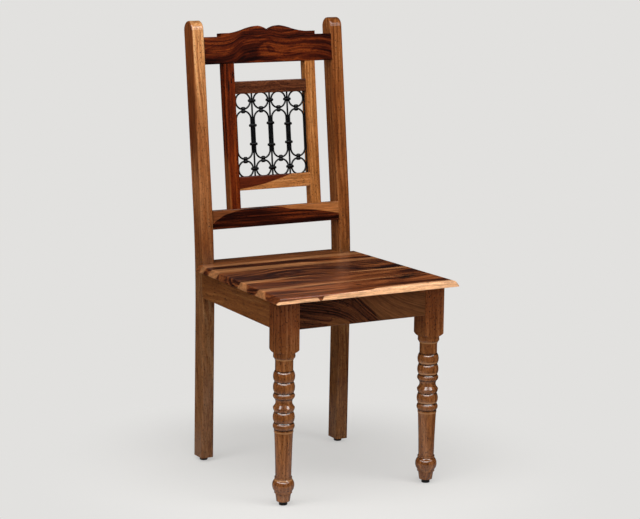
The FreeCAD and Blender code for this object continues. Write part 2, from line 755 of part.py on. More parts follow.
def grille():
    """Nodes of the iron panel, placed in the back."""
    groups = {
        "grille_rods": grille_rods(),
        "grille_collars": collars(),
        "grille_top_rings": [],
        "grille_bottom_rings": [],
        "grille_loops": [],
        "grille_knobs": [],
    }
    reach = ring_radius + bar_radius + BAR_GAP / 2
    for x in column_centres():
        top_ring = grille_ring(x, top_ring_centre)
        bottom_ring = grille_ring(x, bottom_ring_centre)
        loop = grille_loop(x)
        groups["grille_top_rings"].append(top_ring)
        groups["grille_bottom_rings"].append(bottom_ring)
        groups["grille_loops"].append(loop)
        groups["grille_knobs"].append(knob(x, top_ring_centre - reach, 1).cut([top_ring, loop]))
        groups["grille_knobs"].append(knob(x, bottom_ring_centre + reach, -1).cut([bottom_ring, loop]))
    return {name: to_back(Part.makeCompound(shapes)) for name, shapes in groups.items()}


def plan_corners(half_front, front, half_rear, rear):
    """Plan of a tapering board."""
    return [(-half_front, front), (half_front, front), (half_rear, rear), (-half_rear, rear)]


def seat_slab():
    """Whole seat before it is sliced into boards: bevelled, rounded sides above a low lip."""
    front = -SEAT_FRONT_OVERHANG
    rear = post_face_y(SEAT_HEIGHT, half_depth)
    half_front = front_half + SEAT_SIDE_OVERHANG_FRONT
    half_rear = rear_half + SEAT_SIDE_OVERHANG_REAR
    low = plan_corners(half_front, front, half_rear, rear)
    top_front = front + SEAT_FRONT_BEVEL
    high = plan_corners(half_front - SEAT_SIDE_BEVEL, top_front, half_rear - SEAT_SIDE_BEVEL, rear)
    lip_top = seat_underside + SEAT_LIP
    slab = plan_prism(low, seat_underside, lip_top)
    outlines = []
    for corners, z in ((low, lip_top), (high, SEAT_HEIGHT)):
        place = lambda x, y: point(x, y, z)
        outlines.append(Part.Wire(path(corners[0], corners[1:] + corners[:1], place)))
    slab = slab.fuse(Part.makeLoft(outlines, True, True)).removeSplitter()
    return eased(slab, SEAT_EDGE_ROUND, lambda b: b.ZMin > lip_top and b.YMin < rear - SEAT_EDGE_ROUND)


def seat_boards(screws):
    """Boards of the seat, counted from the front, the last one narrowed to go between the posts."""
    front = -SEAT_FRONT_OVERHANG
    rear = post_face_y(SEAT_HEIGHT, half_depth)
    half_width = front_half + SEAT_SIDE_OVERHANG_FRONT
    notch = box(
        rear_inner - SEAT_NOTCH_CLEARANCE,
        half_width,
        post_face_y(seat_underside, -half_depth) - SEAT_NOTCH_CLEARANCE,
        rear + POST_DEPTH,
        seat_underside - SEAT_THICKNESS,
        SEAT_HEIGHT + SEAT_THICKNESS,
    )
    slab = seat_slab().cut([notch, mirrored(notch)])
    boards = {}
    joints = [front + sum(SEAT_BOARD_WIDTHS[:count]) for count in range(len(SEAT_BOARD_WIDTHS) + 1)]
    for number, (y0, y1) in enumerate(zip(joints, joints[1:] + [rear]), start=1):
        slice_box = box(-half_width, half_width, y0, y1, seat_underside, SEAT_HEIGHT)
        boards[f"seat_board_{number}"] = slab.common(slice_box).cut(screws)
    return boards


def corner_block_plan(rail_y, way):
    """Diagonal block from the right apron to the front or rear apron."""
    post_edge = LEG_SIZE if way > 0 else post_face_y(seat_underside, -half_depth)
    leg_inner = front_inner if way > 0 else rear_inner
    near_y = post_edge + way * BLOCK_NEAR_REACH
    far_y = post_edge + way * BLOCK_FAR_REACH
    side_x = lambda y: apron_outer_x(y) - APRON_THICKNESS
    return [
        (side_x(near_y), near_y),
        (side_x(far_y), far_y),
        (leg_inner - BLOCK_FAR_REACH, rail_y),
        (leg_inner - BLOCK_NEAR_REACH, rail_y),
    ]


def corner_block(rail_y, way):
    return plan_prism(corner_block_plan(rail_y, way), seat_underside - BLOCK_THICKNESS, seat_underside)


def seat_screw(x, y):
    """Countersunk screw, driven up through a corner block into the seat."""
    base = seat_underside - BLOCK_THICKNESS
    shank = Part.makeCylinder(SCREW_DIAMETER / 2, BLOCK_THICKNESS + SCREW_BITE, point(x, y, base))
    head = Part.makeCone(SCREW_HEAD_DIAMETER / 2, SCREW_DIAMETER / 2, SCREW_HEAD_HEIGHT, point(x, y, base))
    return shank.fuse(head).removeSplitter()


def block_screws(rail_y, way):
    """Two screws side by side along the middle of a corner block."""
    corners = corner_block_plan(rail_y, way)
    middle_x = sum(x for x, y in corners) / len(corners)
    middle_y = sum(y for x, y in corners) / len(corners)
    run_x = corners[3][0] - corners[0][0]
    run_y = corners[3][1] - corners[0][1]
    share = SCREW_SPACING / 2 / math.hypot(run_x, run_y)
    return [seat_screw(middle_x + side * share * run_x, middle_y + side * share * run_y) for side in (-1, 1)]


def build():
    """All nodes of the chair by name."""
    nails = right_nails()
    front_rail_y = FRONT_APRON_SETBACK + APRON_THICKNESS
    rear_rail_y = rear_apron_faces()[0]
    screws = block_screws(front_rail_y, 1) + block_screws(rear_rail_y, -1)
    screws += [mirrored(screw) for screw in screws]
    pairs = {
        "front_leg": front_leg(nails),
        "rear_leg": rear_leg(nails),
        "side_apron": side_apron(),
        "back_stile": back_stile(),
        "front_corner_block": corner_block(front_rail_y, 1).cut(screws),
        "rear_corner_block": corner_block(rear_rail_y, -1).cut(screws),
        "front_glide": front_glide(),
        "rear_glide": rear_glide(),
    }
    nodes = {}
    for name, shape in pairs.items():
        nodes[name + "_right"] = shape
        nodes[name + "_left"] = mirrored(shape)
    nodes["front_apron"] = front_apron(nails)
    nodes["rear_apron"] = rear_apron()
    nodes["crest_rail"] = crest_rail(nails)
    nodes["lower_back_rail"] = lower_back_rail(nails)
    nodes["grille_bottom_rail"] = grille_rail(grille_rail_bottom, opening_bottom)
    nodes["grille_top_rail"] = grille_rail(opening_top, hand_gap_bottom)
    nodes.update(grille())
    nodes.update(seat_boards(screws))
    nodes["seat_screws"] = Part.makeCompound(screws)
    nodes["tenon_nails"] = Part.makeCompound(nails + [mirrored(nail) for nail in nails])
    return nodes


def write(nodes):
    """Move the chair onto its origin and write one file per node."""
    os.makedirs("parts", exist_ok=True)
    top_centre = along_back(post_top - half_depth, 0)
    front_y = -SEAT_FRONT_OVERHANG
    rear_y = top_centre[0] + half_depth
    middle_y = (front_y + rear_y) / 2
    for name, shape in nodes.items():
        shape.translate(point(0, -middle_y, 0))
        shape.exportStep(os.path.join("parts", name + ".step"))
    print("depth of origin behind the front legs' faces", round(middle_y, 3))
    print("overall depth", round(rear_y - front_y, 2))
    print("overall height", round(top_centre[1] + half_depth, 2))


write(build())
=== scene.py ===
"""Looks of a hardwood dining chair with a wrought-iron grille in its back.

Lengths are metres in the chair's own frame: X to the right of a person who
faces the front of the chair, Y from front to back, Z up, origin on the floor.
A board's knots, sapwood and tones are placed in millimetres, and so are the turned legs' dark groove lines
of painted shade and pale rim lines of painted highlight.
"""
import math
from dataclasses import KW_ONLY, dataclass

import bpy
from mathutils import Matrix, Vector


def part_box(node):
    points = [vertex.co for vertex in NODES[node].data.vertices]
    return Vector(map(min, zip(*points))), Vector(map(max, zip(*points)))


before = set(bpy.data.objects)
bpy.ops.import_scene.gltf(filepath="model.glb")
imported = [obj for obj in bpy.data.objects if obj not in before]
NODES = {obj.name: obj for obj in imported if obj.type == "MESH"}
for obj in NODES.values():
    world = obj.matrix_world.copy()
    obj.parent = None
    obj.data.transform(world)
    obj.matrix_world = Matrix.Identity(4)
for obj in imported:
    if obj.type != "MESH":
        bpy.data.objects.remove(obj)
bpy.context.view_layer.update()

# Camera, at the photograph's viewing angle: turns in radians, lens and sensor in millimetres
CAMERA_PLACE = Vector((-2.1538, -3.8250, 1.2976))
CAMERA_YAW = 0.5168
CAMERA_PITCH = 0.1848
CAMERA_ROLL = -0.01136
CAMERA_LENS = 114.58
CAMERA_SENSOR = 36.0
CAMERA_SIGHT = 60.0

# The back leans from a bend in the rear legs
BACK_RAKE = math.radians(6.59)
BACK_ORIGIN = Vector((0.0, 0.1725, 0.462))
RIGHT = Vector((1.0, 0.0, 0.0))
REARWARD = Vector((0.0, 1.0, 0.0))
UP = Vector((0.0, 0.0, 1.0))
UP_SLOPE = Vector((0.0, math.sin(BACK_RAKE), math.cos(BACK_RAKE)))
OFF_SLOPE = Vector((0.0, math.cos(BACK_RAKE), -math.sin(BACK_RAKE)))
MM = 0.001


def linear(red, green, blue):
    """Display colour, 0 to 255, as a linear colour."""
    parts = []
    for part in (red, green, blue):
        part /= 255.0
        parts.append(part / 12.92 if part <= 0.04045 else ((part + 0.055) / 1.055) ** 2.4)
    return (*parts, 1.0)


class Graph:
    """Short ways to add nodes to a material or a world."""

    def __init__(self, owner, output="ShaderNodeOutputMaterial"):
        owner.use_nodes = True
        self.owner = owner
        self.tree = owner.node_tree
        self.tree.nodes.clear()
        self.surface = self.tree.nodes.new(output).inputs["Surface"]

    def put(self, socket, value):
        if isinstance(value, bpy.types.NodeSocket):
            self.tree.links.new(value, socket)
        else:
            socket.default_value = value

    def add(self, kind, inputs, **settings):
        node = self.tree.nodes.new(kind)
        for name, value in settings.items():
            setattr(node, name, value)
        for name, value in inputs.items():
            self.put(node.inputs[name], value)
        return node

    def math(self, operation, first, second=0.0):
        return self.add("ShaderNodeMath", {0: first, 1: second}, operation=operation).outputs[0]

    def plus(self, first, second):
        return self.math("ADD", first, second)

    def minus(self, first, second):
        return self.math("SUBTRACT", first, second)

    def times(self, first, second):
        return self.math("MULTIPLY", first, second)

    def most(self, first, second):
        return self.math("MAXIMUM", first, second)

    def gap(self, value, level):
        """Distance of a value from a level, either way."""
        return self.math("ABSOLUTE", self.minus(value, level))

    def hypotenuse(self, u, v):
        return self.math("SQRT", self.plus(self.times(u, u), self.times(v, v)))

    def place(self):
        return self.add("ShaderNodeTexCoord", {}).outputs["Object"]

    def along(self, vector, direction):
        node = self.add("ShaderNodeVectorMath", {0: vector, 1: direction}, operation="DOT_PRODUCT")
        return node.outputs["Value"]

    def noise(self, vector, scale, detail=2.0, roughness=0.5):
        inputs = {"Vector": vector, "Scale": scale, "Detail": detail, "Roughness": roughness}
        return self.add("ShaderNodeTexNoise", inputs).outputs["Fac"]

    def noise_line(self, value, detail, roughness):
        inputs = {"W": value, "Scale": 1.0, "Detail": detail, "Roughness": roughness}
        return self.add("ShaderNodeTexNoise", inputs, noise_dimensions="1D").outputs["Fac"]

    def jitter(self, noise, width):
        """Noise as a shift either way, with this full width."""
        return self.times(self.minus(noise, 0.5), width)

    def fade(self, value, low, high, start=0.0, end=1.0, way="SMOOTHSTEP"):
        """Change from start to end as the value goes from low to high."""
        inputs = {"Value": value, "From Min": low, "From Max": high, "To Min": start, "To Max": end}
        return self.add("ShaderNodeMapRange", inputs, interpolation_type=way).outputs["Result"]

    def spread(self, value, low, high, start=0.0, end=1.0):
        """The same change at an even rate."""
        return self.fade(value, low, high, start, end, "LINEAR")

    def mix(self, share, first, second, blend="MIX"):
        node = self.add("ShaderNodeMix", {0: share}, data_type="RGBA", blend_type=blend)
        self.put(node.inputs[6], first)
        self.put(node.inputs[7], second)
        return node.outputs[2]

    def shade(self, colour, factor):
        """Multiply a colour by a grey factor."""
        grey = self.add("ShaderNodeCombineColor", {0: factor, 1: factor, 2: factor}).outputs[0]
        return self.mix(1.0, colour, grey, "MULTIPLY")

    def ramp(self, value, stops):
        node = self.add("ShaderNodeValToRGB", {0: value})
        elements = node.color_ramp.elements
        elements[0].position, elements[0].color = stops[0]
        elements[1].position, elements[1].color = stops[-1]
        for position, colour in stops[1:-1]:
            elements.new(position).color = colour
        return node.outputs["Color"]

    def border(self, along, points):
        """Height of a line through points (along, height) in millimetres, in metres."""
        low_x = points[0][0] * MM
        high_x = points[-1][0] * MM
        low_y = min(y for x, y in points) * MM
        high_y = max(y for x, y in points) * MM
        node = self.add("ShaderNodeFloatCurve", {"Value": self.spread(along, low_x, high_x)})
        curve = node.mapping.curves[0]
        spans = []
        for x, y in points:
            spans.append(((x * MM - low_x) / (high_x - low_x), (y * MM - low_y) / (high_y - low_y)))
        curve.points[0].location = spans[0]
        curve.points[1].location = spans[-1]
        for x, y in spans[1:-1]:
            curve.points.new(x, y)
        node.mapping.update()
        return self.plus(self.times(node.outputs["Value"], high_y - low_y), low_y)

    def bump(self, height, distance, strength):
        inputs = {"Height": height, "Distance": distance, "Strength": strength}
        return self.add("ShaderNodeBump", inputs).outputs["Normal"]

    def layer(self, share, below, above):
        return self.add("ShaderNodeMixShader", {0: share, 1: below, 2: above}).outputs[0]

    def principled(self, **inputs):
        named = {name.replace("_", " "): value for name, value in inputs.items()}
        self.put(self.surface, self.add("ShaderNodeBsdfPrincipled", named).outputs[0])


# Sides of a band's border: further along the board's first crosswise axis, or short of it
FAR = 1.0
NEAR = -1.0


@dataclass
class Band:
    """Band of another colour on one side of a border line along a board: mostly pale sapwood, also other
    wood, and on the left rear leg painted shade.

    The points are (along, across) in millimetres, and the tilt moves the line
    sideways with depth. Soft and wobble are the border's half widths in mm.
    """
    points: tuple
    side: float
    tilt: float = 0.0
    soft: float = 1.2
    wobble: float = 2.5
    colour: tuple = linear(176, 116, 70)


@dataclass
class Knot:
    """Dark oval knot: its centre along and across the grain and its half sizes are millimetres.

    The slant is in degrees, and the depth is how far the knot's colour covers the wood.
    """
    along: float
    across: float
    length: float
    width: float
    slant: float = 0.0
    depth: float = 0.9


@dataclass
class Wood:
    """One board's figure. The axes are its grain and two directions across it.

    The pith is a place across the grain in metres, and so is each joint. The bend
    is a line the grain follows, and the tones are multiplied in along the grain;
    both are given as points in millimetres along it, as are the heights of each
    turned groove, darkened as painted shade, and of each rim, lightened as a
    painted highlight. Ring and wander are millimetres too, drift is the wander's
    features in a metre of grain, and the coat, gloss and coat_ior are the lacquer's.
    """
    axes: tuple
    origin: Vector = Vector((0.0, 0.0, 0.0))
    _: KW_ONLY
    pith: tuple
    dark: tuple
    middle: tuple
    light: tuple
    seed: float
    ring: float = 5.0
    wander: float = 12.0
    drift: float = 3.0
    streaks: float = 0.5
    contrast: float = 1.0
    fibres: float = 0.26
    bend: tuple = ()
    tones: tuple = ()
    sap: tuple = ()
    knots: tuple = ()
    joints: tuple = ()
    shaded_grooves: tuple = ()
    rim_highlights: tuple = ()
    coat: float = 1.0
    gloss: float = 0.11
    coat_ior: float = 1.6


# Features in a metre, along the grain and across it
STREAK_SCALE = (9.0, 210.0)
CLOUD_SCALE = (5.0, 26.0)
FIBRE_SCALE = (42.0, 480.0)
PORE_SCALE = (200.0, 540.0)
WANDER_SCALE_ACROSS = 14.0
KNOT_RIM_SCALE = 160.0

# Detail and roughness of the noise behind a feature
RING_NOISE = (4.0, 0.62)
WANDER_NOISE = (3.0, 0.5)
STREAK_NOISE = (3.0, 0.6)
FIBRE_NOISE = (2.0, 0.6)
PORE_NOISE = (1.0, 0.5)
KNOT_RIM_NOISE = (3.0, 0.5)

# Noise levels between which a feature fades in
SOFT_LEVELS = (0.3, 0.7)
RING_LEVELS = (0.33, 0.67)
FIBRE_LEVELS = (0.25, 0.75)
PORE_LEVELS = (0.58, 0.68)

# Figure: shares of its layers, places of its three colours, and how it shows in sapwood
CLOUD_SHARE = 0.28
COLOUR_STOPS = (0.12, 0.5, 0.88)
PORE_DEPTH = 0.6
PORES_IN_SAP = 0.4
SAP_LEVELS = (0.1, 0.9)
SAP_TONES = (0.7, 1.2)
SAP_WOBBLE_TO_STREAKS = 0.5
FIBRE_RELIEF = 0.3

# Knots, in their own half sizes: ragged rim, its fade, and how far and how much rings sway
KNOT_COLOUR = linear(22, 9, 6)
KNOT_RAGGED = 1.4
KNOT_RIM = (0.5, 1.25)
KNOT_SWAY = 3.0
KNOT_BULGE = 0.8

# Marks on the surface, with painted shade in each turned groove and painted highlights on turned rims:
# widths in metres, tones as factors
END_GRAIN_LEVELS = (0.45, 0.85)
END_GRAIN_TONE = 0.75
# Painted shade: dark lines where the turned legs have a groove
GROOVE_SHADE_WIDTHS = (0.5 * MM, 2.4 * MM)
GROOVE_SHADE = 0.35
# Painted highlights: pale lines on the turned rims, where light from the floor catches them
RIM_HIGHLIGHT_COLOUR = linear(186, 134, 86)
RIM_HIGHLIGHT_WIDTHS = (0.8 * MM, 2.2 * MM)
RIM_HIGHLIGHT_SHARE = 0.7
JOINT_WIDTH = 0.45 * MM
JOINT_TONE = 0.45

# Surface under the lacquer
WOOD_ROUGHNESS = (0.37, 0.49)
WOOD_SPECULAR = 0.05
WOOD_RELIEF = 0.12 * MM
WOOD_BUMP = 0.5


class Timber(Graph):
    """One board's material, with each spot's place along the grain and across it.

    Straight is the place on the first axis across the grain, and first is the
    same with the grain's bend taken out. Shifted is the place along the grain
    that the noises use.
    """

    def __init__(self, name, look):
        super().__init__(bpy.data.materials.new(name))
        self.look = look
        offset = self.add("ShaderNodeVectorMath", {0: self.place(), 1: look.origin}, operation="SUBTRACT")
        self.spot = offset.outputs[0]
        self.length = self.along(self.spot, look.axes[0])
        self.straight = self.along(self.spot, look.axes[1])
        self.second = self.along(self.spot, look.axes[2])
        self.shifted = self.plus(self.length, look.seed)
        self.first = self.straight
        if look.bend:
            self.first = self.minus(self.straight, self.border(self.length, look.bend))
        self.streaked = self.stretched(*STREAK_SCALE)
        self.knot_reaches = [self.reach(knot) for knot in look.knots]

    def stretched(self, along_scale, across_scale):
        """Place in the board, scaled apart along the grain and across it."""
        parts = {
            0: self.times(self.shifted, along_scale),
            1: self.times(self.first, across_scale),
            2: self.times(self.second, across_scale),
        }
        return self.add("ShaderNodeCombineXYZ", parts).outputs[0]

    def reach(self, knot):
        """Distance from a slanted oval knot's centre, 1 at its rim."""
        u = self.minus(self.length, knot.along * MM)
        v = self.minus(self.straight, knot.across * MM)
        turn_cos = math.cos(math.radians(knot.slant))
        turn_sin = math.sin(math.radians(knot.slant))
        long_way = self.plus(self.times(u, turn_cos), self.times(v, turn_sin))
        short_way = self.minus(self.times(v, turn_cos), self.times(u, turn_sin))
        long_way = self.times(long_way, 1.0 / (knot.length * MM))
        short_way = self.times(short_way, 1.0 / (knot.width * MM))
        return self.hypotenuse(long_way, short_way)

    def knot_shade(self):
        """How much of each spot is knot, with ragged rims."""
        rim = self.jitter(self.noise(self.spot, KNOT_RIM_SCALE, *KNOT_RIM_NOISE), KNOT_RAGGED)
        dark = 0.0
        for knot, reach in zip(self.look.knots, self.knot_reaches):
            dark = self.most(dark, self.fade(self.plus(reach, rim), *KNOT_RIM, knot.depth, 0.0))
        return dark

    def ring_radius(self):
        """Distance from the pith, pushed aside by wandering grain and by knots."""
        wide = self.stretched(self.look.drift, WANDER_SCALE_ACROSS)
        wander = self.jitter(self.noise(wide, 1.0, *WANDER_NOISE), 2.0 * self.look.wander * MM)
        first_way = self.minus(self.first, self.look.pith[0])
        second_way = self.minus(self.second, self.look.pith[1])
        radius = self.plus(self.hypotenuse(first_way, second_way), wander)
        for knot, reach in zip(self.look.knots, self.knot_reaches):
            bulge = knot.width * KNOT_BULGE * MM
            radius = self.plus(radius, self.fade(reach, 0.0, KNOT_SWAY, bulge, 0.0))
        return radius

    def figure(self):
        """Share of light wood, from growth rings, streaks and clouds."""
        rings = self.times(self.ring_radius(), 1.0 / (self.look.ring * MM))
        rings = self.fade(self.noise_line(rings, *RING_NOISE), *RING_LEVELS)
        streak = self.fade(self.noise(self.streaked, 1.0, *STREAK_NOISE), *SOFT_LEVELS)
        cloud = self.fade(self.noise(self.stretched(*CLOUD_SCALE), 1.0), *SOFT_LEVELS)
        streaks = self.look.streaks
        share = self.plus(self.times(rings, 1.0 - streaks), self.times(streak, streaks))
        share = self.plus(self.times(share, 1.0 - CLOUD_SHARE), self.times(cloud, CLOUD_SHARE))
        return self.plus(self.jitter(share, self.look.contrast), 0.5)

    def with_sapwood(self, colour, share):
        """Colour with the bands of sapwood, other wood and painted shade laid over it, and how much of
        each spot is in a band.
        """
        pale_share = 0.0
        for sap in self.look.sap:
            level = self.plus(self.straight, self.times(self.second, sap.tilt))
            level = self.minus(level, self.border(self.length, sap.points))
            wobble = self.noise(self.streaked, SAP_WOBBLE_TO_STREAKS)
            level = self.plus(level, self.jitter(wobble, 2.0 * sap.wobble * MM))
            mask = self.fade(self.times(level, sap.side), -sap.soft * MM, sap.soft * MM)
            pale = self.shade(sap.colour, self.fade(share, *SAP_LEVELS, *SAP_TONES))
            colour = self.mix(mask, colour, pale)
            pale_share = self.most(pale_share, mask)
        return colour, pale_share

    def pores(self, pale_share):
        """Short dark pores, fainter in sapwood."""
        pore = self.fade(self.noise(self.stretched(*PORE_SCALE), 1.0, *PORE_NOISE), *PORE_LEVELS)
        return self.times(pore, self.fade(pale_share, 0.0, 1.0, 1.0, PORES_IN_SAP))

    def toned(self, colour):
        """Colour with the tones multiplied in along the grain."""
        low = self.look.tones[0][0]
        high = self.look.tones[-1][0]
        stops = [((at - low) / (high - low), (*tone, 1.0)) for at, tone in self.look.tones]
        tone = self.ramp(self.spread(self.length, low * MM, high * MM), stops)
        return self.mix(1.0, colour, tone, "MULTIPLY")

    def marked(self, colour):
        """Colour with end grain, painted shade in each turned groove, painted highlights on turned rims,
        knots and glued joints.
        """
        facing = self.add("ShaderNodeNewGeometry", {}).outputs["True Normal"]
        end_grain = self.fade(self.gap(self.along(facing, self.look.axes[0]), 0.0), *END_GRAIN_LEVELS)
        colour = self.shade(colour, self.fade(end_grain, 0.0, 1.0, 1.0, END_GRAIN_TONE))
        # Painted shade: a dark line at each turned groove
        for height in self.look.shaded_grooves:
            gap = self.gap(self.length, height * MM)
            colour = self.shade(colour, self.fade(gap, *GROOVE_SHADE_WIDTHS, GROOVE_SHADE, 1.0))
        # Painted highlights: a pale line at each turned rim
        for height in self.look.rim_highlights:
            gap = self.gap(self.length, height * MM)
            colour = self.mix(self.fade(gap, *RIM_HIGHLIGHT_WIDTHS, RIM_HIGHLIGHT_SHARE, 0.0), colour, RIM_HIGHLIGHT_COLOUR)
        if self.look.knots:
            colour = self.mix(self.knot_shade(), colour, KNOT_COLOUR)
        for joint in self.look.joints:
            gap = self.gap(self.straight, joint)
            colour = self.shade(colour, self.fade(gap, 0.0, JOINT_WIDTH, JOINT_TONE, 1.0))
        return colour


def wood(name, look):
    """Solid timber: growth rings round a pith, streaks, fibres, pores, sapwood and knots."""
    g = Timber(name, look)
    share = g.figure()
    colour = g.ramp(share, list(zip(COLOUR_STOPS, (look.dark, look.middle, look.light))))
    colour, pale_share = g.with_sapwood(colour, share)
    fibre = g.noise(g.stretched(*FIBRE_SCALE), 1.0, *FIBRE_NOISE)
    colour = g.shade(colour, g.fade(fibre, *FIBRE_LEVELS, 1.0 - look.fibres, 1.0 + look.fibres))
    pore = g.pores(pale_share)
    colour = g.shade(colour, g.fade(pore, 0.0, 1.0, 1.0, 1.0 - PORE_DEPTH))
    if look.tones:
        colour = g.toned(colour)
    g.principled(
        Base_Color=g.marked(colour),
        Roughness=g.fade(share, 0.0, 1.0, *WOOD_ROUGHNESS),
        Normal=g.bump(g.minus(g.times(fibre, FIBRE_RELIEF), pore), WOOD_RELIEF, WOOD_BUMP),
        Specular_IOR_Level=WOOD_SPECULAR,
        Coat_Weight=look.coat,
        Coat_Roughness=look.gloss,
        Coat_IOR=look.coat_ior,
    )
    return g.owner


# Black paint on hand-worked bar: scales are features in a metre
HAMMER_SCALE = 260.0
HAMMER_NOISE = (3.0, 0.6)
SPECKLE_SCALE = 1400.0
SPECKLE_SHARE = 0.15
RUB_SCALE = 90.0
RUB_NOISE = (3.0, 0.5)
RUB_LEVELS = (0.62, 0.75)
RUB_SHARE = 0.3
PAINT = linear(2, 3, 5)
RUBBED_PAINT = linear(18, 20, 25)
PAINT_ROUGHNESS = (0.26, 0.38)
PAINT_SPECULAR = 0.35
HAMMER_RELIEF = 0.3 * MM
HAMMER_BUMP = 0.25


def iron():
    """Hand-worked bar under satin black paint."""
    g = Graph(bpy.data.materials.new("black_iron"))
    place = g.place()
    hammered = g.noise(place, HAMMER_SCALE, *HAMMER_NOISE)
    speckle = g.noise(place, SPECKLE_SCALE)
    rubbed = g.fade(g.noise(place, RUB_SCALE, *RUB_NOISE), *RUB_LEVELS)
    height = g.plus(hammered, g.times(speckle, SPECKLE_SHARE))
    g.principled(
        Base_Color=g.mix(g.times(rubbed, RUB_SHARE), PAINT, RUBBED_PAINT),
        Roughness=g.fade(hammered, *SOFT_LEVELS, *PAINT_ROUGHNESS),
        Specular_IOR_Level=PAINT_SPECULAR,
        Normal=g.bump(height, HAMMER_RELIEF, HAMMER_BUMP),
    )
    return g.owner


@dataclass
class Grained:
    """Plain matter with a fine grain: features in a metre, two colours, gloss and relief."""
    scale: float
    detail: float
    dark: tuple
    light: tuple
    roughness: tuple
    relief: float
    metal: float = 0.0


GRAIN_BUMP = 0.4
GLIDE_PLASTIC = Grained(900.0, 2.0, linear(12, 12, 13), linear(30, 30, 31), (0.45, 0.6), 0.1 * MM)
STEEL = Grained(1200.0, 3.0, linear(12, 8, 6), linear(34, 26, 21), (0.45, 0.65), 0.08 * MM, metal=0.6)


def grained(name, look):
    g = Graph(bpy.data.materials.new(name))
    grain = g.noise(g.place(), look.scale, look.detail)
    g.principled(
        Base_Color=g.mix(grain, look.dark, look.light),
        Metallic=look.metal,
        Roughness=g.fade(grain, *SOFT_LEVELS, *look.roughness),
        Normal=g.bump(grain, look.relief, GRAIN_BUMP),
    )
    return g.owner


# Grain directions: along the grain, then two directions across it
SEAT_GRAIN = (RIGHT, REARWARD, UP)
RAIL_GRAIN = (RIGHT, UP_SLOPE, OFF_SLOPE)
POST_GRAIN = (UP_SLOPE, RIGHT, OFF_SLOPE)
APRON_GRAIN = (RIGHT, UP, REARWARD)
SIDE_GRAIN = (REARWARD, UP, RIGHT)
LEG_GRAIN = (UP, RIGHT, REARWARD)


def tints(dark, middle, light):
    """A board's three display colours."""
    return {"dark": linear(*dark), "middle": linear(*middle), "light": linear(*light)}


GOLD = tints((120, 64, 22), (166, 102, 50), (194, 134, 78))
TAN = tints((82, 42, 14), (120, 70, 32), (148, 96, 52))
RED = tints((20, 2, 1), (68, 19, 3), (124, 54, 15))
DULL = tints((50, 24, 10), (94, 56, 28), (124, 80, 46))
SEAT = tints((40, 12, 5), (98, 44, 17), (152, 86, 42))

# Front legs: heights in millimetres of each narrow turned place, darkened there as painted shade, and a
# darker square block above
PLAIN_TONE = (1.0, 1.0, 1.0)
BLOCK_TONE = (0.74, 0.62, 0.6)
TURNED = {
    **tints((90, 46, 16), (132, 78, 38), (162, 106, 62)),
    "contrast": 0.7,
    "coat_ior": 2.0,
    "shaded_grooves": (290.3, 267.3, 243.3, 230.8, 202.8, 179.3, 164.8),
    "tones": ((0, PLAIN_TONE), (300, PLAIN_TONE), (385, BLOCK_TONE), (450, BLOCK_TONE)),
}

seat_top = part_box("seat_board_2")[1].z
post_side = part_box("rear_leg_left")[0].x / MM
joint_lines = [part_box(f"seat_board_{number}")[1].y for number in range(1, 5)]


def seat_wood(number, **changes):
    """Wood of one seat board, with fine dark lines at its glued joints."""
    low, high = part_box(f"seat_board_{number}")
    joints = tuple(line for line in joint_lines if low.y - MM < line < high.y + MM)
    settings = {**SEAT, "seed": 1.7 * number, "origin": Vector((0.0, 0.0, seat_top)), "joints": joints}
    settings.update(fibres=0.3, contrast=1.6, gloss=0.28, coat_ior=1.5)
    return Wood(SEAT_GRAIN, **{**settings, **changes})


